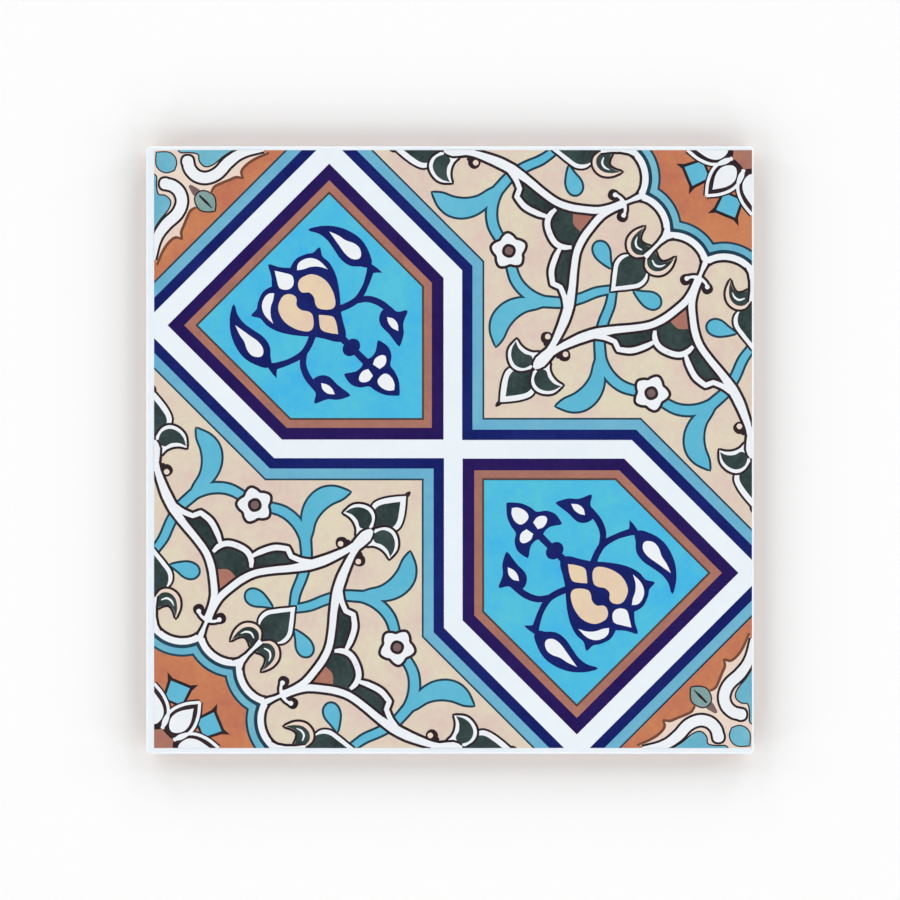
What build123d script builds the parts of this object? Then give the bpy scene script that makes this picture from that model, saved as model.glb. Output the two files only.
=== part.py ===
from build123d import *

import os

# Square pressed ceramic wall tile, glazed on its face and keyed on its back, in millimetres.
# The tile lies face up. The origin is at the middle of the back, in the plane of the key ribs,
# +Z points out of the glazed face, and +X and +Y run along two edges.

# Outline of the pressed body
tile_side = 200.0  # face, from edge to edge
tile_thickness = 7.0  # from the key ribs to the glazed face
corner_radius = 1.6  # upright corners, seen from above
arris_radius = 0.9  # rounded edge that the glaze rolls over, between face and side

# Sides: an upright band that meets the next tile, and a flank below it
band_height = 3.8  # upright band, from the face down
flank_inset = 1.0  # how far the flank draws in between the band and the back

# Back: a flat rim round a waffle of shallow square keys for the adhesive
key_count = 10  # keys along one edge
rim_width = 9.0  # flat border between the flank and the first keys
rib_width = 2.6  # standing rib between two keys
key_depth = 0.8  # from the ribs up to the key's floor
key_draft = 30.0  # slope of the key's walls from upright, in degrees

# Sizes that follow from the ones above
flank_height = tile_thickness - band_height
back_side = tile_side - 2 * flank_inset
key_field = back_side - 2 * rim_width
key_mouth = (key_field - (key_count - 1) * rib_width) / key_count
key_pitch = key_mouth + rib_width


def pressed_body():
    """The tile blank: flank, upright band and rounded face edge, with a plain back."""
    with BuildPart() as blank:
        with BuildSketch(Plane.XY):
            RectangleRounded(back_side, back_side, corner_radius)
        with BuildSketch(Plane.XY.offset(flank_height)) as band_outline:
            RectangleRounded(tile_side, tile_side, corner_radius)
        loft(ruled=True)
        extrude(band_outline.sketch, amount=band_height)
        face_outline = blank.faces().sort_by(Axis.Z)[-1].edges()
        fillet(face_outline, radius=arris_radius)
    return blank.part


def back_keys():
    """The waffle of drafted square pockets that the press leaves in the back."""
    with BuildPart() as keys:
        with BuildSketch(Plane.XY):
            with GridLocations(key_pitch, key_pitch, key_count, key_count):
                Rectangle(key_mouth, key_mouth)
        extrude(amount=key_depth, taper=key_draft)
    return keys.part


tile = pressed_body() - back_keys()
tile.label = "tile"

os.makedirs("parts", exist_ok=True)
export_step(tile, "parts/tile.step")
print("tile volume", round(tile.volume / 1000, 1), "cm3, key mouth", round(key_mouth, 2), "mm")
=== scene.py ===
from math import cos, pi, radians, sin, sqrt

import bmesh
import bpy
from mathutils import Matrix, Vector


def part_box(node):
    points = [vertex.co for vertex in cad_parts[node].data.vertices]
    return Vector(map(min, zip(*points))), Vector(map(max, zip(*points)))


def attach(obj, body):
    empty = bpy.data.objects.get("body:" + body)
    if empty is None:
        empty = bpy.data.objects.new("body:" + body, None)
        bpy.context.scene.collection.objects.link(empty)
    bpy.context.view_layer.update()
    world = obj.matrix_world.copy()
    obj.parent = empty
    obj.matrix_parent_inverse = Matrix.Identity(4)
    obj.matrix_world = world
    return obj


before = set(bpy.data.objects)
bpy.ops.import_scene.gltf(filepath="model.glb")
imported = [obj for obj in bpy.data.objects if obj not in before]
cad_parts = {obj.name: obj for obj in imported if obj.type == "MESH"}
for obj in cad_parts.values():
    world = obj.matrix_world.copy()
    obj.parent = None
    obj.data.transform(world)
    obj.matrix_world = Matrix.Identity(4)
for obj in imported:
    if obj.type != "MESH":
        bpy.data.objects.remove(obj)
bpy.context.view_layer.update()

tileLow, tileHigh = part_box("tile")
faceHeight = tileHigh.z
mm = 0.001

# The printed square on the glazed face, which lies a little off centre: its four white margins
printSpec = {"left": 2.7 * mm, "right": 0.7 * mm, "near": 2.0 * mm, "far": 1.4 * mm}
printLow = Vector((tileLow.x + printSpec["left"], tileLow.y + printSpec["near"]))
printHigh = Vector((tileHigh.x - printSpec["right"], tileHigh.y - printSpec["far"]))
printCentre = (printLow + printHigh) / 2
halfPattern = 100.0  # the drawing runs from -100 to 100 across the print
unit = (printHigh.x - printLow.x) / (2 * halfPattern)

# Every enamel reaches "sink" into the glaze below it. A trailed line swells by a share of its half width.
enamelSpec = {"sink": 0.02 * mm, "swell": 0.008, "facets": 9, "curveSteps": 7, "creaseAngle": 50}


# Node helpers
def place(tree, kind, feeds=None, settings=None):
    node = tree.nodes.new(kind)
    for key, value in (settings or {}).items():
        setattr(node, key, value)
    for label, value in (feeds or {}).items():
        if isinstance(value, bpy.types.NodeSocket):
            tree.links.new(value, node.inputs[label])
        else:
            node.inputs[label].default_value = value
    return node


def calculate(tree, operation, first, second):
    return place(tree, "ShaderNodeMath", {0: first, 1: second}, {"operation": operation}).outputs[0]


def transform(tree, geometry, label, value):
    return place(tree, "GeometryNodeTransform", {"Geometry": geometry, label: value}).outputs[0]


def join(tree, *parts):
    node = place(tree, "GeometryNodeJoinGeometry")
    for part in parts:
        tree.links.new(part, node.inputs[0])
    return node.outputs[0]


def newTree(name, sockets):
    tree = bpy.data.node_groups.new(name, "GeometryNodeTree")
    tree.interface.new_socket("Geometry", in_out="INPUT", socket_type="NodeSocketGeometry")
    tree.interface.new_socket("Geometry", in_out="OUTPUT", socket_type="NodeSocketGeometry")
    for label, kind in sockets:
        tree.interface.new_socket(label, in_out="INPUT", socket_type="NodeSocket" + kind)
    return tree


# Geometry Nodes: one motif is drawn once, mirrored, turned about its centre and repeated half a turn on
fanSockets = [("Paired", "Bool"), ("Copies", "Int"), ("First Turn", "Float"), ("Step Turn", "Float"),
              ("Centre", "Vector"), ("Print Centre", "Vector"), ("Unit", "Float"), ("Foot", "Float"),
              ("Crown", "Float"), ("Enamel", "Material")]
lineSockets = [("Widen", "Float"), ("Swell", "Float"), ("Facets", "Int")]


def fanOut(tree, motif, entry):
    both = join(tree, motif, transform(tree, motif, "Scale", (-1, 1, 1)))
    drawn = place(tree, "GeometryNodeSwitch", {"Switch": entry["Paired"], "False": motif, "True": both})
    index = place(tree, "GeometryNodeInputIndex").outputs[0]
    steps = calculate(tree, "MULTIPLY", index, entry["Step Turn"])
    turned = calculate(tree, "ADD", entry["First Turn"], steps)
    euler = place(tree, "ShaderNodeCombineXYZ", {"Z": turned}).outputs[0]
    rotation = place(tree, "FunctionNodeEulerToRotation", {0: euler}).outputs[0]
    spots = place(tree, "GeometryNodePoints", {"Count": entry["Copies"]}).outputs[0]
    fan = place(tree, "GeometryNodeInstanceOnPoints",
                {"Points": spots, "Instance": drawn.outputs[0], "Rotation": rotation}).outputs[0]
    seated = transform(tree, fan, "Translation", entry["Centre"])
    whole = join(tree, seated, transform(tree, seated, "Rotation", (0, 0, pi)))
    printed = transform(tree, whole, "Translation", entry["Print Centre"])
    real = place(tree, "GeometryNodeRealizeInstances", {"Geometry": printed}).outputs[0]
    painted = place(tree, "GeometryNodeSetMaterial", {"Geometry": real, "Material": entry["Enamel"]})
    tree.links.new(painted.outputs[0], place(tree, "NodeGroupOutput").inputs[0])


def scaledCurves(tree, entry):
    size = place(tree, "ShaderNodeCombineXYZ", {"X": entry["Unit"], "Y": entry["Unit"], "Z": 1.0}).outputs[0]
    return transform(tree, entry["Geometry"], "Scale", size)


# A flat patch of enamel: outlines that share a group number are one patch, with holes
def buildPatchTree():
    tree = newTree("enamelPatch", fanSockets)
    entry = place(tree, "NodeGroupInput").outputs
    group = place(tree, "GeometryNodeInputNamedAttribute", {"Name": "material_index"}, {"data_type": "INT"})
    fill = place(tree, "GeometryNodeFillCurve",
                 {"Curve": scaledCurves(tree, entry), "Group ID": group.outputs[0]}, {"mode": "TRIANGLES"})
    low = place(tree, "ShaderNodeCombineXYZ", {"Z": entry["Foot"]}).outputs[0]
    base = transform(tree, fill.outputs[0], "Translation", low)
    depth = calculate(tree, "SUBTRACT", entry["Crown"], entry["Foot"])
    raised = place(tree, "GeometryNodeExtrudeMesh", {"Mesh": base, "Offset": (0, 0, 1),
                                                     "Offset Scale": depth, "Individual": False}).outputs[0]
    under = place(tree, "GeometryNodeFlipFaces", {"Mesh": base}).outputs[0]
    closed = join(tree, raised, under)
    welded = place(tree, "GeometryNodeMergeByDistance", {"Geometry": closed, "Distance": 1e-6})
    fanOut(tree, welded.outputs[0], entry)
    return tree


# A trailed line of enamel: steep sides up to the crown and a low swell on top, as wide as the curve's radius
def buildLineTree():
    tree = newTree("enamelLine", fanSockets + lineSockets)
    entry = place(tree, "NodeGroupInput").outputs
    upright = place(tree, "GeometryNodeSetCurveNormal", {"Curve": scaledCurves(tree, entry)},
                    {"mode": "Z_UP"}).outputs[0]
    arc = place(tree, "GeometryNodeCurveArc",
                {"Resolution": entry["Facets"], "Radius": 1.0, "Sweep Angle": pi}).outputs[0]
    profile = place(tree, "GeometryNodeSetSplineCyclic", {"Geometry": arc, "Cyclic": True}).outputs[0]
    radius = place(tree, "GeometryNodeInputRadius").outputs[0]
    width = calculate(tree, "MULTIPLY", calculate(tree, "ADD", radius, entry["Widen"]), entry["Unit"])
    swept = place(tree, "GeometryNodeCurveToMesh",
                  {"Curve": upright, "Profile Curve": profile, "Scale": width, "Fill Caps": True})
    spot = place(tree, "GeometryNodeInputPosition").outputs[0]
    axes = place(tree, "ShaderNodeSeparateXYZ", {0: spot}).outputs
    height = calculate(tree, "ABSOLUTE", axes["Z"], 0.0)
    onTop = calculate(tree, "GREATER_THAN", height, 1e-7)  # what lies lower is the line's foot
    swell = calculate(tree, "ADD", entry["Crown"], calculate(tree, "MULTIPLY", height, entry["Swell"]))
    top = calculate(tree, "MULTIPLY", onTop, swell)
    bottom = calculate(tree, "MULTIPLY", calculate(tree, "SUBTRACT", 1.0, onTop), entry["Foot"])
    newSpot = place(tree, "ShaderNodeCombineXYZ",
                    {"X": axes["X"], "Y": axes["Y"], "Z": calculate(tree, "ADD", top, bottom)}).outputs[0]
    laid = place(tree, "GeometryNodeSetPosition", {"Geometry": swept.outputs[0], "Position": newSpot})
    fanOut(tree, laid.outputs[0], entry)
    return tree


patchTree = buildPatchTree()
lineTree = buildLineTree()
print("trees built")


# Drawing: a point is (across, along) or (across, along, half width), and "sharp" lists the corners
def handlesFor(points, index, closed, sharp):
    here = Vector(points[index][:2])
    count = len(points)
    before = Vector(points[(index - 1) % count][:2]) if closed or index > 0 else None
    after = Vector(points[(index + 1) % count][:2]) if closed or index < count - 1 else None
    back = (before if before else here) - here
    ahead = (after if after else here) - here
    if index in sharp or not before or not after:
        return here + back / 3, here + ahead / 3
    run = (after - before).normalized()
    return here - run * back.length / 3, here + run * ahead.length / 3


def drawSplines(name, shapes):
    curve = bpy.data.curves.new(name, "CURVE")
    curve.dimensions = "3D"
    for group, shape in enumerate(shapes):
        for outline in shape["outlines"]:
            points = outline["points"]
            closed = outline.get("closed", False)
            spline = curve.splines.new("BEZIER")
            spline.bezier_points.add(len(points) - 1)
            spline.use_cyclic_u = closed
            spline.resolution_u = shape.get("steps", enamelSpec["curveSteps"])
            spline.material_index = group
            for index, knot in enumerate(spline.bezier_points):
                back, ahead = handlesFor(points, index, closed, outline.get("sharp", ()))
                knot.handle_left_type = "FREE"
                knot.handle_right_type = "FREE"
                knot.co = (points[index][0], points[index][1], 0)
                knot.handle_left = (back.x, back.y, 0)
                knot.handle_right = (ahead.x, ahead.y, 0)
                knot.radius = points[index][2] if len(points[index]) > 2 else 0.0
    return curve


# Where each motif is repeated: its centre in the drawing, and the turns that bring its axis onto the tile
zones = {
    "tip": {"centre": (halfPattern, halfPattern), "copies": 3, "first": 90, "step": 45},
    "wedge": {"centre": (halfPattern, halfPattern), "copies": 2, "first": 112.5, "step": 45},
    "round": {"centre": (halfPattern, halfPattern), "copies": 1, "first": 0, "step": 0},
    "bloom": {"centre": (0, 0), "copies": 1, "first": 45, "step": 0},
    "nook": {"centre": (-halfPattern, halfPattern), "copies": 1, "first": 225, "step": 0},
}


# One run of an enamel: shapes of one zone, laid to one height in millimetres
def patches(zone, shapes, crown, paired=False):
    return {"tree": patchTree, "zone": zone, "shapes": shapes, "crown": crown, "paired": paired}


def trails(zone, shapes, crown, paired=False, widen=0.0, swell=enamelSpec["swell"]):
    return {"tree": lineTree, "zone": zone, "shapes": shapes, "crown": crown, "paired": paired,
            "widen": widen, "swell": swell}


def fanMesh(name, run, enamel):
    zone = zones[run["zone"]]
    curve = drawSplines(name, run["shapes"])
    holder = bpy.data.objects.new(name, curve)
    bpy.context.scene.collection.objects.link(holder)
    modifier = holder.modifiers.new("fan", "NODES")
    modifier.node_group = run["tree"]
    values = {
        "Paired": run["paired"], "Copies": zone["copies"],
        "First Turn": radians(zone["first"]), "Step Turn": radians(zone["step"]),
        "Centre": (zone["centre"][0] * unit, zone["centre"][1] * unit, 0.0),
        "Print Centre": (printCentre.x, printCentre.y, faceHeight), "Unit": unit,
        "Foot": -enamelSpec["sink"], "Crown": run["crown"] * mm, "Enamel": enamel,
        "Widen": run.get("widen"), "Swell": run.get("swell"), "Facets": enamelSpec["facets"],
    }
    for item in run["tree"].interface.items_tree:
        if item.in_out == "INPUT" and item.name in values:
            modifier[item.identifier] = values[item.name]
    evaluated = holder.evaluated_get(bpy.context.evaluated_depsgraph_get())
    mesh = bpy.data.meshes.new_from_object(evaluated)
    holder.modifiers.remove(modifier)
    bpy.data.objects.remove(holder)
    bpy.data.curves.remove(curve)
    return mesh


def trimToPrint(bm):
    sides = [(printLow.x, 0, -1), (printHigh.x, 0, 1), (printLow.y, 1, -1), (printHigh.y, 1, 1)]
    for edge, axis, sign in sides:
        spot = Vector((0, 0, 0))
        spot[axis] = edge
        outward = Vector((0, 0, 0))
        outward[axis] = sign
        bmesh.ops.bisect_plane(bm, geom=bm.verts[:] + bm.edges[:] + bm.faces[:], dist=1e-8,
                               plane_co=spot, plane_no=outward, clear_outer=True)
        cutRim = [rimEdge for rimEdge in bm.edges if rimEdge.is_boundary]
        bmesh.ops.holes_fill(bm, edges=cutRim, sides=0)


def layEnamel(name, finish, runs):
    enamel = finishes[finish]
    bm = bmesh.new()
    for index, run in enumerate(runs):
        mesh = fanMesh(f"{name}Run{index}", run, enamel)
        bm.from_mesh(mesh)
        bpy.data.meshes.remove(mesh)
    trimToPrint(bm)
    bmesh.ops.recalc_face_normals(bm, faces=bm.faces[:])
    mesh = bpy.data.meshes.new(name)
    for face in bm.faces:
        face.smooth = True
        face.material_index = 0
    bm.to_mesh(mesh)
    bm.free()
    mesh.materials.append(enamel)
    mesh.set_sharp_from_angle(angle=radians(enamelSpec["creaseAngle"]))
    piece = bpy.data.objects.new(name, mesh)
    bpy.context.scene.collection.objects.link(piece)
    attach(piece, "root")
    print("laid", name, len(mesh.polygons), "faces")


# Shape helpers
def patch(points, sharp=()):
    return {"outlines": [{"points": points, "closed": True, "sharp": sharp}]}


def line(points, sharp=()):
    return {"outlines": [{"points": points, "sharp": sharp}]}


def rim(points, halfWidth, sharp=()):
    return patch([(across, along, halfWidth) for across, along in points], sharp)


def roundPatch(across, along, radius):
    return patch([(across + radius, along), (across, along + radius),
                  (across - radius, along), (across, along - radius)])


# An outline drawn on one side of its axis, from one end to the other, and closed by its mirror image
def mirrorOutline(points, sharp):
    whole = list(points)
    corners = set(sharp)
    for index in range(len(points) - 1, -1, -1):
        across, along = points[index]
        if across > 0:
            if index in sharp:
                corners.add(len(whole))
            whole.append((-across, along))
    return whole, corners


def mirrorPatch(points, sharp=()):
    return patch(*mirrorOutline(points, sharp))


def mirrorRim(points, halfWidth, sharp=()):
    whole, corners = mirrorOutline(points, sharp)
    return rim(whole, halfWidth, corners)


# Straight-sided outlines, moved inwards from the middle of a strap
def inset(points, distance):
    moved = []
    count = len(points)
    for index in range(count):
        here = Vector(points[index])
        back = (here - Vector(points[index - 1])).normalized()
        ahead = (Vector(points[(index + 1) % count]) - here).normalized()
        inwards = Vector((-back.y - ahead.y, back.x + ahead.x))
        moved.append(tuple(here + inwards * distance / (1 + back.dot(ahead))))
    return {"points": moved, "closed": True, "sharp": range(count)}


def ring(points, outer, inner):
    return {"outlines": [inset(points, outer), inset(points, inner)], "steps": 1}


def field(points, distance):
    return {"outlines": [inset(points, distance)], "steps": 1}


# Colours as they read on the tile, as 0 to 255 values
def colour(red, green, blue):
    linear = []
    for value in (red, green, blue):
        share = value / 255
        linear.append(share / 12.92 if share <= 0.04045 else ((share + 0.055) / 1.055) ** 2.4)
    return (*linear, 1.0)


# Shared shader groups: clouds in the colour of an enamel, and the wavy gloss of the glaze
mottleSpec = {"cloudDetail": 3.0, "cloudRoughness": 0.6, "cloudWeight": 0.7, "grainRatio": 7.0,
              "grainDetail": 2.0, "grainWeight": 0.3, "low": 0.38, "high": 0.66}
glossSpec = {"waverScale": 90.0, "waverDetail": 2.0, "waverWeight": 2.0, "peelScale": 420.0,
             "peelDetail": 1.0, "roughness": 0.10, "roughSpread": 0.12, "bumpStrength": 0.12,
             "bumpDistance": 0.05 * mm}


def shaderGroup(name, inputs, outputs):
    group = bpy.data.node_groups.new(name, "ShaderNodeTree")
    for label, kind in inputs:
        group.interface.new_socket(label, in_out="INPUT", socket_type="NodeSocket" + kind)
    for label, kind in outputs:
        group.interface.new_socket(label, in_out="OUTPUT", socket_type="NodeSocket" + kind)
    return group


def noise(tree, spot, scale, detail, roughness=0.5):
    return place(tree, "ShaderNodeTexNoise", {"Vector": spot, "Scale": scale, "Detail": detail,
                                              "Roughness": roughness}).outputs["Fac"]


def mixColours(tree, share, first, second):
    mix = place(tree, "ShaderNodeMix", None, {"data_type": "RGBA"})
    for index, socket in ((0, share), (6, first), (7, second)):  # the colour mix's own three sockets
        tree.links.new(socket, mix.inputs[index])
    return mix.outputs[2]


def buildMottle():
    group = shaderGroup("enamelMottle", [("Spot", "Vector"), ("Body", "Color"), ("Pooled", "Color"),
                                         ("Cloud Scale", "Float"), ("Cloud Share", "Float")],
                        [("Color", "Color")])
    entry = place(group, "NodeGroupInput").outputs
    cloud = noise(group, entry["Spot"], entry["Cloud Scale"], mottleSpec["cloudDetail"],
                  mottleSpec["cloudRoughness"])
    fineScale = calculate(group, "MULTIPLY", entry["Cloud Scale"], mottleSpec["grainRatio"])
    grain = noise(group, entry["Spot"], fineScale, mottleSpec["grainDetail"])
    mixed = calculate(group, "ADD", calculate(group, "MULTIPLY", cloud, mottleSpec["cloudWeight"]),
                      calculate(group, "MULTIPLY", grain, mottleSpec["grainWeight"]))
    share = place(group, "ShaderNodeMapRange",
                  {"Value": mixed, "From Min": mottleSpec["low"], "From Max": mottleSpec["high"],
                   "To Min": 0.0, "To Max": entry["Cloud Share"]}).outputs[0]
    mix = mixColours(group, share, entry["Body"], entry["Pooled"])
    group.links.new(mix, place(group, "NodeGroupOutput").inputs["Color"])
    return group


def buildGloss():
    group = shaderGroup("glazeGloss", [("Spot", "Vector"), ("Gloss", "Float")],
                        [("Roughness", "Float"), ("Height", "Float")])
    entry = place(group, "NodeGroupInput").outputs
    waver = noise(group, entry["Spot"], glossSpec["waverScale"], glossSpec["waverDetail"])
    peel = noise(group, entry["Spot"], glossSpec["peelScale"], glossSpec["peelDetail"])
    spread = calculate(group, "MULTIPLY", waver, glossSpec["roughSpread"])
    leave = place(group, "NodeGroupOutput").inputs
    group.links.new(calculate(group, "ADD", entry["Gloss"], spread), leave["Roughness"])
    wave = calculate(group, "MULTIPLY", waver, glossSpec["waverWeight"])
    group.links.new(calculate(group, "ADD", wave, peel), leave["Height"])
    return group


mottleGroup = buildMottle()
glossGroup = buildGloss()


def mottled(tree, spot, body, pooled, cloudScale, cloudShare):
    mottle = place(tree, "ShaderNodeGroup", None, {"node_tree": mottleGroup})
    tree.links.new(spot, mottle.inputs["Spot"])
    mottle.inputs["Body"].default_value = colour(*body)
    mottle.inputs["Pooled"].default_value = colour(*pooled)
    mottle.inputs["Cloud Scale"].default_value = cloudScale
    mottle.inputs["Cloud Share"].default_value = cloudShare
    return mottle.outputs["Color"]


def enamelFinish(name, body, pooled, cloudScale, cloudShare):
    material = bpy.data.materials.new(name)
    material.use_nodes = True
    tree = material.node_tree
    shader = tree.nodes["Principled BSDF"]
    spot = place(tree, "ShaderNodeTexCoord").outputs["Object"]
    tree.links.new(mottled(tree, spot, body, pooled, cloudScale, cloudShare), shader.inputs["Base Color"])
    gloss = place(tree, "ShaderNodeGroup", None, {"node_tree": glossGroup})
    tree.links.new(spot, gloss.inputs["Spot"])
    gloss.inputs["Gloss"].default_value = glossSpec["roughness"]
    tree.links.new(gloss.outputs["Roughness"], shader.inputs["Roughness"])
    bump = place(tree, "ShaderNodeBump", {"Strength": glossSpec["bumpStrength"],
                                          "Distance": glossSpec["bumpDistance"],
                                          "Height": gloss.outputs["Height"]})
    tree.links.new(bump.outputs[0], shader.inputs["Normal"])
    material.diffuse_color = colour(*body)
    return material


# Enamel colours: the body of the colour, where it pools, how fine its clouds are and how far they go
palette = {
    "sand": ((228, 218, 193), (225, 199, 190), 75.0, 1.0),
    "turquoise": ((68, 184, 234), (88, 198, 224), 50.0, 1.0),
    "cobalt": ((13, 26, 98), (30, 44, 120), 80.0, 0.6),
    "violet": ((34, 16, 84), (48, 30, 100), 80.0, 0.6),
    "sky": ((104, 176, 208), (124, 190, 216), 60.0, 0.7),
    "copper": ((178, 122, 104), (158, 107, 98), 90.0, 0.9),
    "teal": ((28, 58, 78), (44, 82, 98), 90.0, 0.7),
    "outline": ((42, 30, 36), (60, 46, 50), 90.0, 0.7),
    "umber": ((74, 58, 56), (94, 76, 70), 90.0, 0.7),
    "white": ((244, 248, 252), (236, 240, 246), 60.0, 0.6),
    "lobe": ((237, 216, 182), (231, 203, 180), 90.0, 1.0),
    "orange": ((206, 134, 92), (192, 114, 90), 80.0, 1.0),
    "cream": ((240, 222, 206), (234, 208, 196), 60.0, 0.8),
    "scallop": ((104, 178, 204), (128, 194, 212), 80.0, 0.8),
    "bud": ((120, 158, 158), (144, 172, 166), 140.0, 0.9),
    "vine": ((92, 184, 214), (112, 194, 220), 60.0, 0.7),
    "leaf": ((40, 54, 54), (64, 82, 80), 110.0, 0.9),
    "rust": ((128, 78, 56), (108, 66, 52), 120.0, 0.8),
    "eye": ((128, 104, 100), (108, 88, 88), 120.0, 0.8),
}
finishes = {}
for name, spec in palette.items():
    finishes[name] = enamelFinish(name + "Enamel", *spec)
print("enamels mixed")

# Straps: eight-pointed star, five-sided panel and corner square, along the middle of the white strap
shortLeg = halfPattern * (sqrt(2) - 1)
longLeg = halfPattern - shortLeg
tipReach = halfPattern * sqrt(2)
dipReach = halfPattern / cos(pi / 8)
starOutline = []
for step in range(16):
    reach = tipReach if step % 2 == 0 else dipReach
    starOutline.append((reach * cos(step * pi / 8), reach * sin(step * pi / 8)))
panelOutline = [(0, 0), (shortLeg, shortLeg), (shortLeg, halfPattern),
                (-shortLeg, halfPattern), (-shortLeg, shortLeg)]
nookOutline = []
for step in range(4):
    turn = step * pi / 2 + pi / 4
    nookOutline.append((longLeg * cos(turn), longLeg * sin(turn)))

# Where each band ends, counted inwards from the middle of the strap, and how high grounds and bands stand
strapSpec = {"strap": 3.05, "dark": 6.5, "pale": 9.85, "edge": 10.45,
             "panelStrap": 3.2, "panelDark": 7.1, "panelPale": 9.75, "panelEdge": 10.4,
             "groundCrown": 0.020, "bandCrown": 0.032}
groundCrown = strapSpec["groundCrown"]
bandCrown = strapSpec["bandCrown"]


# The same band along the star and along the corner square
def framingBands(outer, inner, crown):
    outerEdge = strapSpec[outer]
    innerEdge = strapSpec[inner]
    return [patches("round", [ring(starOutline, outerEdge, innerEdge)], crown),
            patches("nook", [ring(nookOutline, outerEdge, innerEdge)], crown)]


def panelBand(outer, inner, crown):
    return [patches("bloom", [ring(panelOutline, strapSpec[outer], strapSpec[inner])], crown)]


layEnamel("sandGround", "sand", [
    patches("round", [field(starOutline, strapSpec["edge"])], groundCrown)])
layEnamel("turquoiseField", "turquoise", [
    patches("bloom", [field(panelOutline, strapSpec["panelEdge"])], groundCrown)])
layEnamel("cobaltBands", "cobalt", framingBands("strap", "dark", bandCrown))
layEnamel("violetBands", "violet", panelBand("panelStrap", "panelDark", bandCrown))
layEnamel("skyBands", "sky", framingBands("dark", "pale", groundCrown))
layEnamel("copperBands", "copper", panelBand("panelDark", "panelPale", groundCrown))
layEnamel("tealLines", "teal", framingBands("pale", "edge", bandCrown))
layEnamel("panelLines", "umber", panelBand("panelPale", "panelEdge", bandCrown))
print("straps laid")

# Flower of the five-sided panel: a cobalt silhouette, with white and sand petals on it
bloom = {
    "body": [(0, 87), (1.8, 83.6), (4.2, 80.9), (7.6, 81.7), (11.0, 80.6), (13.2, 79.2), (15.8, 79.1),
             (14.3, 76.6), (14.4, 73.4), (13.3, 69.6), (11.2, 66), (8.4, 62.4), (6.2, 60), (3.9, 56.6),
             (1.7, 53), (0, 52)],
    "bodySharp": (0, 2, 6),
    "knot": [(0, 50.1), (1.9, 49.7), (2.8, 48.1), (1.9, 46.5), (0, 46.1)],
    "bud": [(0, 41.4), (2.2, 40.7), (4.8, 41.0), (7.9, 43.1), (8.4, 39.6), (7.2, 37), (4.6, 34.8),
            (4.1, 32.2), (2.8, 29), (0, 25.8)],
    "budSharp": (3, 9),
    "paisley": [(17.9, 85.9), (21.6, 83.4), (24.8, 79.8), (26.8, 75.4), (27.4, 71), (26.2, 66.4),
                (23.8, 63.2), (21.6, 65.4), (19.4, 68), (18.8, 71.4), (19.5, 75.4), (20.1, 79.2),
                (19.6, 82.8)],
    "thorn": [(20.6, 61.6), (23.2, 60.2), (25.0, 58.5), (24.8, 61.2), (23.8, 63.6)],
    "leafBud": [(18.2, 48.4), (15.4, 49), (12.8, 46.8), (12.5, 42.2), (11.8, 37.3), (15.2, 39.2),
                (17.8, 41.9), (21.6, 43.6), (18.9, 45.5)],
    "leafBudSharp": (4, 7),
    "rim": 0.45,
    "stalk": [(0, 54, 1.4), (0, 50, 1.2), (0, 45, 1.2), (0, 40.4, 1.3)],
    "arm": [(5.6, 60.4, 1.2), (9.6, 58.7, 1.15), (13.2, 58.1, 1.15), (18, 59.4, 1.0), (22.4, 61.6, 1.2)],
    "tendril": [(11.8, 58.3, 1.0), (15.4, 55.6, 1.15), (17.3, 51.8, 1.2), (17.9, 47.4, 1.2)],
    "crest": [(0, 84.4), (1.6, 81.8), (2.9, 79.2), (1.8, 77.2), (0, 76.4)],
    "budTip": [(0, 34.4), (1.9, 33.8), (2.4, 31.6), (1.5, 29.2), (0, 27.9)],
    "sidePetal": [(5.4, 79.2), (7.0, 80.4), (9.2, 80.3), (11.6, 78.8), (12.9, 76.0), (12.9, 72.2),
                  (11.5, 74.8), (9.4, 76.8), (7.2, 77.9)],
    "budPetal": [(1.1, 39), (3, 39.8), (5.4, 39.1), (5.9, 37.7), (4, 36.1), (1.6, 36.3)],
    "paisleyEye": [(22.2, 80.8), (23.4, 77.6), (24.0, 74.8), (25.3, 71.9), (25.3, 69.3), (23.4, 67.3),
                   (21.4, 68.4), (20.7, 71.2), (21.3, 75.4)],
    "leafBudEye": [(15.6, 46.8), (16.7, 45.0), (16.5, 42.8), (15, 40.9), (14.3, 43), (14.6, 45.2)],
    "lozenge": [(0, 63.5), (1.8, 61.4), (2.9, 59.4), (1.8, 56.8), (0, 54.4)],
    "lobe": [(4.9, 76.3), (8.1, 74.6), (9.7, 70.6), (9.1, 66.4), (7.2, 62.9), (5.5, 61.7), (3.6, 62.4),
             (1.5, 65.1), (1.7, 66.8), (3.0, 68.8), (3.0, 71.0), (1.4, 72.7), (1.4, 74.3), (2.8, 76.0)],
    "bodyCrown": 0.060, "rimCrown": 0.056, "stalkCrown": 0.058, "petalCrown": 0.085,
}
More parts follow.
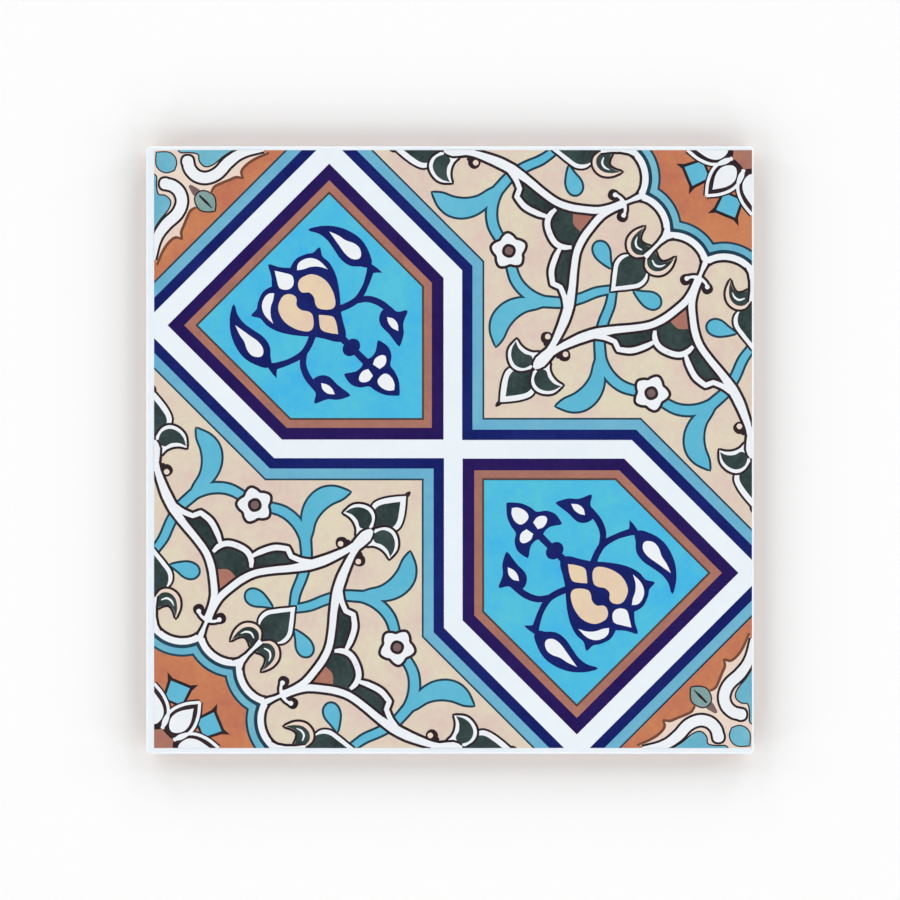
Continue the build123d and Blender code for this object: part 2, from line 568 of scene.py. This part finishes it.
layEnamel("bloomOutline", "cobalt", [
    patches("bloom", [
        mirrorPatch(bloom["body"], bloom["bodySharp"]),
        mirrorPatch(bloom["knot"]),
        mirrorPatch(bloom["bud"], bloom["budSharp"]),
    ], bloom["bodyCrown"]),
    patches("bloom", [
        patch(bloom["paisley"], (0,)),
        patch(bloom["thorn"], (0, 2)),
        patch(bloom["leafBud"], bloom["leafBudSharp"]),
    ], bloom["bodyCrown"], paired=True),
    trails("bloom", [
        mirrorRim(bloom["body"], bloom["rim"], bloom["bodySharp"]),
        mirrorRim(bloom["knot"], bloom["rim"]),
        mirrorRim(bloom["bud"], bloom["rim"], bloom["budSharp"]),
    ], bloom["rimCrown"]),
    trails("bloom", [
        rim(bloom["paisley"], bloom["rim"], (0,)),
        rim(bloom["leafBud"], bloom["rim"], bloom["leafBudSharp"]),
    ], bloom["rimCrown"], paired=True),
    trails("bloom", [line(bloom["stalk"])], bloom["stalkCrown"]),
    trails("bloom", [line(bloom["arm"]), line(bloom["tendril"])], bloom["stalkCrown"], paired=True),
])
layEnamel("bloomWhites", "white", [
    patches("bloom", [
        mirrorPatch(bloom["crest"], (0,)),
        mirrorPatch(bloom["budTip"], (4,)),
    ], bloom["petalCrown"]),
    patches("bloom", [
        patch(bloom["sidePetal"], (0, 5)),
        patch(bloom["budPetal"], (0, 5)),
        patch(bloom["paisleyEye"], (0,)),
        patch(bloom["leafBudEye"], (0, 3)),
    ], bloom["petalCrown"], paired=True),
])
layEnamel("bloomSand", "lobe", [
    patches("bloom", [mirrorPatch(bloom["lozenge"], (0, 4))], bloom["petalCrown"]),
    patches("bloom", [patch(bloom["lobe"])], bloom["petalCrown"], paired=True),
])
print("panel flowers laid")

# Rosette at the middle of the star, with a scalloped edge of sixteen bays
rosette = {"bays": 16, "bayReach": 48.4, "bayPoints": 6, "outline": 9.9, "white": 10.8, "cord": 12.9,
           "sky": 14.1, "teal": 16.2, "orange": 16.95, "heart": 7.4, "heartRim": 0.35}


def scallop(edge):
    points = []
    sharp = []
    stepAngle = 2 * pi / rosette["bays"]
    for bay in range(rosette["bays"]):
        middle = (bay + 0.5) * stepAngle
        sharp.append(len(points))
        for sample in range(rosette["bayPoints"]):
            swing = -stepAngle / 2 + stepAngle * sample / rosette["bayPoints"]
            nearSide = rosette["bayReach"] * cos(swing)
            nearSide -= sqrt(max(0, rosette[edge] ** 2 - (rosette["bayReach"] * sin(swing)) ** 2))
            points.append((nearSide * cos(middle + swing), nearSide * sin(middle + swing)))
    return {"points": points, "closed": True, "sharp": sharp}


def scallopShape(*edges):
    return {"outlines": [scallop(edge) for edge in edges], "steps": 2}


def heartRim():
    radius = rosette["heart"]
    turns = [step * pi / 4 for step in range(8)]
    return rim([(radius * cos(turn), radius * sin(turn)) for turn in turns], rosette["heartRim"])


# Corner square: cream ground inside a cusped edge, white scrolls, a turquoise palmette and a bud
nook = {
    "ground": [(0, 22.5), (2.2, 23.2), (3.9, 23.3), (5.6, 22.9), (7.6, 23.5), (10.7, 24.8), (13, 25.8),
               (14.4, 27.6), (15.6, 25.7), (18.5, 25.3), (22, 26.0), (26.5, 27.8), (0, -6)],
    "contour": [(3.6, 23.4, 0.4), (5.6, 22.9, 0.5), (7.6, 23.5, 0.5), (10.7, 24.8, 0.5), (13, 25.8, 0.5),
                (14.4, 27.6, 0.4), (15.6, 25.7, 0.5), (18.5, 25.3, 0.5), (22, 26.0, 0.5), (26.5, 27.8, 0.4)],
    "scroll": [(26, 26, 0.35), (20, 21.5, 1.5), (14.8, 20.4, 1.8), (9.6, 20.5, 1.85), (5.9, 19.0, 1.85),
               (4.0, 16.2, 1.85), (4.0, 13.0, 1.85), (5.2, 10.8, 1.85)],
    "ball": (5.3, 10.6, 1.9),
    "scrollCase": 0.8,
    "palmette": [(20.5, 19), (15.4, 17.7), (10.8, 17.2), (8.4, 15.9), (8.3, 13.4), (9.6, 11.4), (7.8, 8.6),
                 (5.8, 6.2), (8, 3), (20, 12)],
    "palmetteSharp": (0, 8, 9),
    "palmetteRim": 0.5,
    "heart": [(0, 1.2), (2.8, 4.0), (3.2, 6.2), (2.2, 8.2), (0, 9.4)],
    "heartSharp": (0, 4),
    "heartRim": 0.45,
    "bud": [(0, 28.6), (1.7, 27.2), (3.1, 25.0), (2.7, 22.6), (1.5, 21.0), (0, 20.6)],
    "budRim": 0.5,
    "budLine": [(0, 27.4, 0.15), (0, 24.6, 0.5), (0, 21.4, 0.35)],
    "budFoot": [(0, 21.4), (1.3, 20.4), (1.0, 18.4), (0, 16.6)],
}
layEnamel("orangeGround", "orange", [
    patches("nook", [field(nookOutline, strapSpec["edge"])], groundCrown),
    patches("round", [scallopShape("orange")], crown=0.045),
])
layEnamel("creamGround", "cream", [
    patches("nook", [mirrorPatch(nook["ground"], (7, 11, 12))], crown=0.034)])

# Arabesque of the star: lines with a half width at each point, and leaves. A case is the dark edge of a line.
star = {
    "band": [(17.4, 43.2, 0.95), (18.2, 45.1, 0.85), (19.0, 47.3, 0.85), (19.7, 49.7, 0.95),
             (20.15, 51.9, 1.2), (19.85, 55.9, 1.15), (19.1, 60.8, 1.2), (17.4, 65.4, 1.15),
             (14, 70.2, 1.15), (9.9, 75.2, 1.25), (6.6, 80, 1.65), (4.2, 84.5, 1.6), (2.4, 89, 1.3),
             (1.2, 92.6, 1.05), (0.7, 95.6, 0.9)],
    "stem": [(0, 92.6, 0.4), (0, 95, 1.6), (0, 98.2, 2.0), (0, 100.2, 2.1), (0, 101.9, 1.5),
             (0, 103.1, 0.6)],
    "foot": [(0, 39.2, 2.2), (0, 41.2, 1.1), (0, 44, 0.55), (0, 47, 0.55), (0, 50.6, 1.0)],
    "leafEdge": [(22.3, 68.2, 0.6), (21.2, 71.6, 0.95), (18.9, 75.9, 1.0), (15.6, 78.7, 0.9),
                 (12.9, 77.7, 0.85), (9.6, 79.1, 0.9), (6.4, 81.3, 1.0)],
    "leaf": [(7.0, 80.2), (12.8, 77.6), (15.5, 78.3), (18.7, 75.7), (20.9, 71.4), (22.0, 67.6),
             (18.4, 64.4), (14.2, 70), (9.8, 75.2)],
    "spadeCase": [(0, 119.2), (2.5, 116.3), (4.7, 113.2), (5.9, 110.2), (5.3, 108.2), (0, 104.4)],
    "spade": [(0, 116.5), (2.1, 113.8), (4.1, 110.5), (3.9, 107.7), (1.6, 105.4), (0, 104.4)],
    "spadeSpike": [(0, 118.6, 0.9), (0, 120.2, 0.8), (0, 121.2, 0.3)],
    "sideCurl": [(0.6, 104.2), (2.6, 107.0), (5.2, 108.0), (8.2, 107.0), (10.5, 104.4), (10.9, 100.4),
                 (8.6, 100.9), (6.2, 100.7), (4.0, 99.7), (2.4, 98.0), (1.0, 100.4)],
    "sideCurlSharp": (0, 5, 9, 10),
    "sideLeaf": [(1.2, 102.2), (2.4, 105.5), (5.1, 106.8), (7.9, 105.9), (9.8, 103.8), (10.7, 101.0),
                 (8.4, 102.0), (5.7, 101.9), (3.4, 100.9)],
    "hook": (4.2, 92.9, 2.1),
    "hookEye": (4.2, 92.4, 0.95),
    "hookSpot": (2.9, 94.4, 1.0),
    "palmetteCase": [(0, 66.8), (1.5, 64.8), (3.8, 62.0), (6.0, 58.4), (5.4, 54.8), (0, 51.2)],
    "palmette": [(0, 64.6), (2.4, 61.5), (4.6, 58.2), (4.5, 54.9), (2.6, 52.2), (0, 51.2)],
    "curl": [(0.6, 51.0), (2.6, 53.0), (5.6, 53.0), (8.2, 50.7), (8.7, 47.2), (7.3, 43.5), (6.4, 46.2),
             (5.0, 47.8), (3, 47.7), (1.2, 46.8)],
    "curlLeaf": [(0.8, 50.5), (2.8, 52.0), (5.3, 51.8), (7.2, 49.8), (7.7, 47.0), (7.3, 43.9), (6.4, 46.3),
                 (5.0, 47.8), (3, 47.7), (1.2, 46.9)],
    "curlSharp": (0, 5, 9),
    "curlLine": [(2.4, 49.6, 0.2), (4.3, 50.1, 0.38), (5.8, 49.2, 0.36), (6.6, 47.6, 0.12)],
    "drop": [(5.4, 61.2), (8.6, 61.9), (11.8, 62), (14.3, 60.7), (14.8, 58.5), (13, 56.9), (10.4, 57.3),
             (7.8, 59.4)],
    "vine": [(0.3, 66.2, 1.1), (3.2, 70.4, 1.35), (5.4, 75.4, 1.4), (8.2, 80.2, 1.45), (12.2, 84, 1.6),
             (16.6, 87.6, 1.8)],
    "runner": [(11.5, 83.4, 1.2), (15.6, 86.0, 1.6), (20.4, 87.1, 1.65), (25.4, 86.5, 1.6),
               (30.5, 83.8, 1.4)],
    "comma": [(12.4, 84.6), (18.2, 88.2), (21.3, 92.2), (22.5, 96.8), (21.7, 101.2), (18.9, 104.6),
              (14.2, 106.9), (14.5, 103.6), (15.9, 99.6), (16.3, 95.6), (15.5, 91.6), (13.2, 87.6)],
    "petal": [(0, 18.7), (2.8, 14.2), (2.9, 10.6), (0, 8.0)],
    "petalBase": [(0, 21.6), (3.0, 17.8), (4.7, 13.4), (4.2, 9.0), (2.5, 6.6), (0, 6.2)],
    "petalEdge": 0.55, "petalCase": 0.6, "bandCase": 0.9, "vineCase": 0.8, "commaRim": 0.8, "curlRim": 0.85,
    "leafRim": 0.75,
}
# Between two tips of the star: a leaf of two lobes, a hooked neck, a flower and a square of the rosette
wedge = {
    "lobe": [(0, 73.0), (2.2, 72.8), (4.2, 72), (6.2, 70), (8.2, 66.6), (4.8, 62.4), (2.2, 63.9), (0, 64.6)],
    "spot": [(0, 55.0), (2.0, 58.3), (3.8, 61.3), (5.6, 64.2), (0, 65.6)],
    "lobeEdge": [(6.9, 68.2, 0.6), (6.0, 70.4, 0.95), (4.3, 72.2, 1.0), (2.2, 73.0, 1.0), (-0.5, 73.2, 1.0)],
    "neck": [(0, 40.4, 1.0), (0, 42.0, 0.85), (0, 43.6, 0.6), (0, 45.2, 0.55), (0, 46.8, 0.9)],
    "anchor": [(-3.6, 47.7, 0.45), (-2.0, 46.7, 0.5), (0, 46.5, 0.9), (2.0, 46.7, 0.5), (3.6, 47.7, 0.45)],
    "hook": (3.9, 48.5, 2.0),
    "hookEye": (3.7, 48.0, 0.8),
    "square": [(3.0, 16.8), (3.4, 23.0), (-3.4, 23.0), (-3.0, 16.8)],
    "squareCase": [(3.8, 16.0), (4.4, 22.6), (5.6, 25.2), (3.2, 24.0), (-3.2, 24.0), (-5.6, 25.2),
                   (-4.4, 22.6), (-3.8, 16.0)],
    "flowerReach": 88.0, "flowerRadius": 5.1, "flowerWave": 0.7, "flowerPetals": 5, "petalPoints": 4,
    "flowerRim": 1.0, "flowerEye": 1.4, "eyeRim": 1.0,
}
scrollSwell = 0.03  # the white lines stand rounder than the others


def flowerOutline():
    points = []
    petals = wedge["flowerPetals"]
    count = wedge["petalPoints"] * petals
    for sample in range(count):
        swing = 2 * pi * sample / count
        reach = wedge["flowerRadius"] + wedge["flowerWave"] * cos(petals * swing)
        points.append((reach * sin(swing), wedge["flowerReach"] - reach * cos(swing)))
    return points


flowerPatch = {**patch(flowerOutline()), "steps": 3}
flowerRim = {**rim(flowerOutline(), wedge["flowerRim"]), "steps": 3}
vineShapes = [line(star["vine"]), line(star["runner"])]
bandShapes = [line(star["band"]), line(star["leafEdge"], (3, 4))]
lobeShapes = [line(wedge["lobeEdge"])]
stemShapes = [line(star["stem"]), line(star["foot"])]
anchorShapes = [line(wedge["neck"]), line(wedge["anchor"])]
petalEdges = [line([(*spot, star["petalEdge"]) for spot in star["petalBase"][:-1]])]

layEnamel("darkOutlines", "outline", [
    trails("tip", [
        rim(star["sideCurl"], star["curlRim"], star["sideCurlSharp"]),
        rim(star["curl"], star["curlRim"], star["curlSharp"]),
    ], crown=0.076, paired=True),
    trails("tip", [
        mirrorRim(star["spadeCase"], star["leafRim"], (0,)),
        mirrorRim(star["palmetteCase"], star["leafRim"], (0,)),
        line(star["spadeSpike"]),
    ], crown=0.066),
    trails("tip", bandShapes, crown=0.080, paired=True, widen=star["bandCase"]),
    trails("tip", stemShapes, crown=0.081, widen=star["bandCase"]),
    trails("wedge", anchorShapes, crown=0.081, widen=star["bandCase"]),
    trails("wedge", lobeShapes, crown=0.079, paired=True, widen=star["bandCase"]),
    patches("wedge", [roundPatch(*wedge["hook"])], crown=0.060, paired=True),
    patches("tip", [roundPatch(*star["hook"])], crown=0.060, paired=True),
    patches("tip", [roundPatch(*star["hookSpot"])], crown=0.070, paired=True),
    trails("wedge", [flowerRim], crown=0.068),
    patches("wedge", [
        roundPatch(0, wedge["flowerReach"], wedge["flowerEye"] + wedge["eyeRim"]),
    ], crown=0.086),
    patches("wedge", [patch(wedge["squareCase"], range(8))], crown=0.054),
    patches("round", [scallopShape("outline", "white")], crown=0.050),
    trails("round", [heartRim()], crown=0.050),
    trails("tip", petalEdges, crown=0.056, paired=True, widen=star["petalCase"]),
    patches("tip", [mirrorPatch(star["petalBase"], (0,))], crown=0.054),
    trails("nook", [line(nook["scroll"])], crown=0.066, paired=True, widen=nook["scrollCase"]),
    patches("nook", [
        roundPatch(*nook["ball"][:2], nook["ball"][2] + nook["scrollCase"]),
    ], crown=0.064, paired=True),
    trails("nook", [
        rim(nook["palmette"], nook["palmetteRim"], nook["palmetteSharp"]),
    ], crown=0.046, paired=True),
    trails("nook", [
        mirrorRim(nook["bud"], nook["budRim"], (0,)),
        mirrorRim(nook["heart"], nook["heartRim"], nook["heartSharp"]),
    ], crown=0.045),
    trails("nook", [line(nook["budLine"])], crown=0.056),
])

layEnamel("tealOutlines", "teal", [
    trails("tip", vineShapes, crown=0.036, paired=True, widen=star["vineCase"]),
    trails("tip", [
        rim(star["comma"], star["commaRim"], (6,)),
        rim(star["drop"], star["commaRim"], (0,)),
    ], crown=0.038, paired=True),
    patches("round", [scallopShape("teal", "orange")], crown=0.050),
    patches("round", [scallopShape("cord", "sky")], crown=0.052),
])
layEnamel("skyScallop", "scallop", [
    patches("round", [scallopShape("sky", "teal")], crown=0.046),
    patches("nook", [patch(nook["palmette"], nook["palmetteSharp"])], crown=0.052, paired=True),
    patches("nook", [mirrorPatch(nook["heart"], nook["heartSharp"])], crown=0.050),
])
layEnamel("cornerBuds", "bud", [
    patches("nook", [mirrorPatch(nook["bud"], (0,))], crown=0.050)])

layEnamel("vines", "vine", [
    trails("tip", vineShapes, crown=0.053, paired=True, swell=0.012),
    patches("tip", [patch(star["comma"], (6,)), patch(star["drop"], (0,))], crown=0.056, paired=True),
    patches("wedge", [patch(wedge["square"], range(4))], crown=0.060),
])
layEnamel("leaves", "leaf", [
    patches("tip", [patch(star["leaf"], (0, 5, 6))], crown=0.066, paired=True),
    patches("tip", [
        patch(star["sideLeaf"], (0, 5)),
        patch(star["curlLeaf"], star["curlSharp"]),
    ], crown=0.088, paired=True),
    patches("tip", [mirrorPatch(star["spade"], (0,)), mirrorPatch(star["palmette"], (0,))], crown=0.075),
    patches("wedge", [mirrorPatch(wedge["lobe"], (4, 5))], crown=0.064),
])

layEnamel("brownSpots", "copper", [
    patches("wedge", [mirrorPatch(wedge["spot"], (0, 3))], crown=0.058),
    patches("round", [roundPatch(0, 0, rosette["heart"])], crown=0.052),
])
layEnamel("rustContours", "rust", [
    trails("nook", [line(nook["contour"], (5,))], crown=0.040, paired=True)])
layEnamel("flowerEyes", "eye", [
    patches("wedge", [roundPatch(0, wedge["flowerReach"], wedge["flowerEye"])], crown=0.092),
    patches("nook", [mirrorPatch(nook["budFoot"])], crown=0.042),
])
layEnamel("creamSpots", "cream", [
    patches("tip", [roundPatch(*star["hookEye"])], crown=0.066, paired=True),
    patches("tip", [patch(star["curl"], star["curlSharp"])], crown=0.083, paired=True),
])

layEnamel("whiteScrolls", "white", [
    trails("tip", bandShapes, crown=0.100, paired=True, swell=scrollSwell),
    trails("tip", [line(star["curlLine"])], crown=0.092, paired=True, swell=scrollSwell),
    patches("tip", [patch(star["sideCurl"], star["sideCurlSharp"])], crown=0.083, paired=True),
    trails("tip", stemShapes, crown=0.102, swell=scrollSwell),
    trails("wedge", anchorShapes, crown=0.102, swell=scrollSwell),
    patches("wedge", [roundPatch(*wedge["hookEye"])], crown=0.102, paired=True),
    patches("tip", [
        mirrorPatch(star["spadeCase"], (0,)),
        mirrorPatch(star["palmetteCase"], (0,)),
    ], crown=0.073),
    trails("tip", petalEdges, crown=0.064, paired=True, swell=scrollSwell),
    patches("tip", [mirrorPatch(star["petal"], (0,))], crown=0.076),
    trails("wedge", lobeShapes, crown=0.098, paired=True, swell=scrollSwell),
    patches("wedge", [flowerPatch], crown=0.080),
    patches("round", [scallopShape("white", "cord")], crown=0.090),
    trails("nook", [line(nook["scroll"])], crown=0.090, paired=True, swell=scrollSwell),
    patches("nook", [roundPatch(*nook["ball"])], crown=0.092, paired=True),
])
print("arabesque laid")

# Body of the tile: white glaze over the face, the arris and most of the upright band, bare biscuit below
bodySpec = {
    "glaze": ((241, 249, 255), (236, 244, 252), 40.0, 0.8), "glazeRoughness": 0.14,
    "clay": ((166, 126, 102), (146, 108, 86), 160.0, 0.8), "clayRoughness": 0.85,
    "glazeFoot": faceHeight - 1.5 * mm, "footFade": 0.15 * mm, "footWaver": 1.2 * mm, "dripScale": 140.0,
    "poreScale": 1600.0, "poreDepth": 0.2 * mm, "poreStrength": 0.4, "detail": 3.0,
}


def bodyFinish():
    material = bpy.data.materials.new("whiteGlazeOnBiscuit")
    material.use_nodes = True
    tree = material.node_tree
    shader = tree.nodes["Principled BSDF"]
    spot = place(tree, "ShaderNodeTexCoord").outputs["Object"]
    height = place(tree, "ShaderNodeSeparateXYZ", {0: spot}).outputs["Z"]
    drips = noise(tree, spot, bodySpec["dripScale"], bodySpec["detail"])
    waver = calculate(tree, "MULTIPLY", calculate(tree, "SUBTRACT", drips, 0.5), bodySpec["footWaver"])
    level = calculate(tree, "ADD", height, waver)
    glazed = place(tree, "ShaderNodeMapRange",
                   {"Value": level, "From Min": bodySpec["glazeFoot"] - bodySpec["footFade"],
                    "From Max": bodySpec["glazeFoot"] + bodySpec["footFade"]}).outputs[0]
    glaze = mottled(tree, spot, *bodySpec["glaze"])
    clay = mottled(tree, spot, *bodySpec["clay"])
    tree.links.new(mixColours(tree, glazed, clay, glaze), shader.inputs["Base Color"])
    rough = place(tree, "ShaderNodeMapRange", {"Value": glazed, "To Min": bodySpec["clayRoughness"],
                                               "To Max": bodySpec["glazeRoughness"]})
    tree.links.new(rough.outputs[0], shader.inputs["Roughness"])
    pores = noise(tree, spot, bodySpec["poreScale"], bodySpec["detail"])
    grain = calculate(tree, "MULTIPLY", pores, calculate(tree, "SUBTRACT", 1.0, glazed))
    bump = place(tree, "ShaderNodeBump", {"Strength": bodySpec["poreStrength"],
                                          "Distance": bodySpec["poreDepth"], "Height": grain})
    tree.links.new(bump.outputs[0], shader.inputs["Normal"])
    return material


glazedBody = bodyFinish()
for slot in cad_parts["tile"].material_slots:
    slot.material = glazedBody
print("body glazed")

# Floor, light and camera
stageSpec = {"floorHalf": 14.0, "floorColour": (254, 254, 254), "roughness": 0.9, "shine": 0.1,
             "gap": 0.02 * mm}
lightSpec = {"world": 0.12, "lampsPerRing": 8, "lampReach": 5.2, "lampSize": 1.9,
             "rings": [{"rise": 18, "turn": 22.5, "power": 53.5}, {"rise": 34, "turn": 0, "power": 24.2}]}
cameraSpec = {"lens": 85.0, "sensor": 36.0, "frameWidth": 0.296}


def buildStage():
    bm = bmesh.new()
    bmesh.ops.create_grid(bm, x_segments=1, y_segments=1, size=stageSpec["floorHalf"])
    mesh = bpy.data.meshes.new("floor")
    bm.to_mesh(mesh)
    bm.free()
    floor = bpy.data.objects.new("floor", mesh)
    floor.location.z = tileLow.z - stageSpec["gap"]
    bpy.context.scene.collection.objects.link(floor)
    material = bpy.data.materials.new("paleFloor")
    material.use_nodes = True
    shader = material.node_tree.nodes["Principled BSDF"]
    shader.inputs["Base Color"].default_value = colour(*stageSpec["floorColour"])
    shader.inputs["Roughness"].default_value = stageSpec["roughness"]
    shader.inputs["Specular IOR Level"].default_value = stageSpec["shine"]
    mesh.materials.append(material)


def addLamp(name, rise, turn, power):
    data = bpy.data.lights.new(name, "AREA")
    data.shape = "DISK"
    data.energy = power
    data.size = lightSpec["lampSize"]
    lamp = bpy.data.objects.new(name, data)
    aim = Vector((cos(rise) * cos(turn), cos(rise) * sin(turn), sin(rise)))
    lamp.location = lightSpec["lampReach"] * aim
    lamp.rotation_euler = aim.to_track_quat("Z", "Y").to_euler()
    bpy.context.scene.collection.objects.link(lamp)


def buildLights():
    world = bpy.data.worlds.new("softRoom")
    world.use_nodes = True
    background = world.node_tree.nodes["Background"]
    background.inputs["Color"].default_value = (1, 1, 1, 1)
    background.inputs["Strength"].default_value = lightSpec["world"]
    bpy.context.scene.world = world
    for ringIndex, ringSpec in enumerate(lightSpec["rings"]):
        for lampIndex in range(lightSpec["lampsPerRing"]):
            turn = radians(ringSpec["turn"] + 360 * lampIndex / lightSpec["lampsPerRing"])
            addLamp(f"softLamp{ringIndex}{lampIndex}", radians(ringSpec["rise"]), turn, ringSpec["power"])


def buildCamera():
    data = bpy.data.cameras.new("overhead")
    data.lens = cameraSpec["lens"]
    data.sensor_width = cameraSpec["sensor"]
    data.sensor_fit = "AUTO"
    camera = bpy.data.objects.new("overhead", data)
    distance = cameraSpec["frameWidth"] * cameraSpec["lens"] / cameraSpec["sensor"]
    camera.location = (0, 0, faceHeight + distance)
    bpy.context.scene.collection.objects.link(camera)
    bpy.context.scene.camera = camera


buildStage()
buildLights()
buildCamera()
bpy.context.scene.view_settings.view_transform = "Standard"
print("stage set")
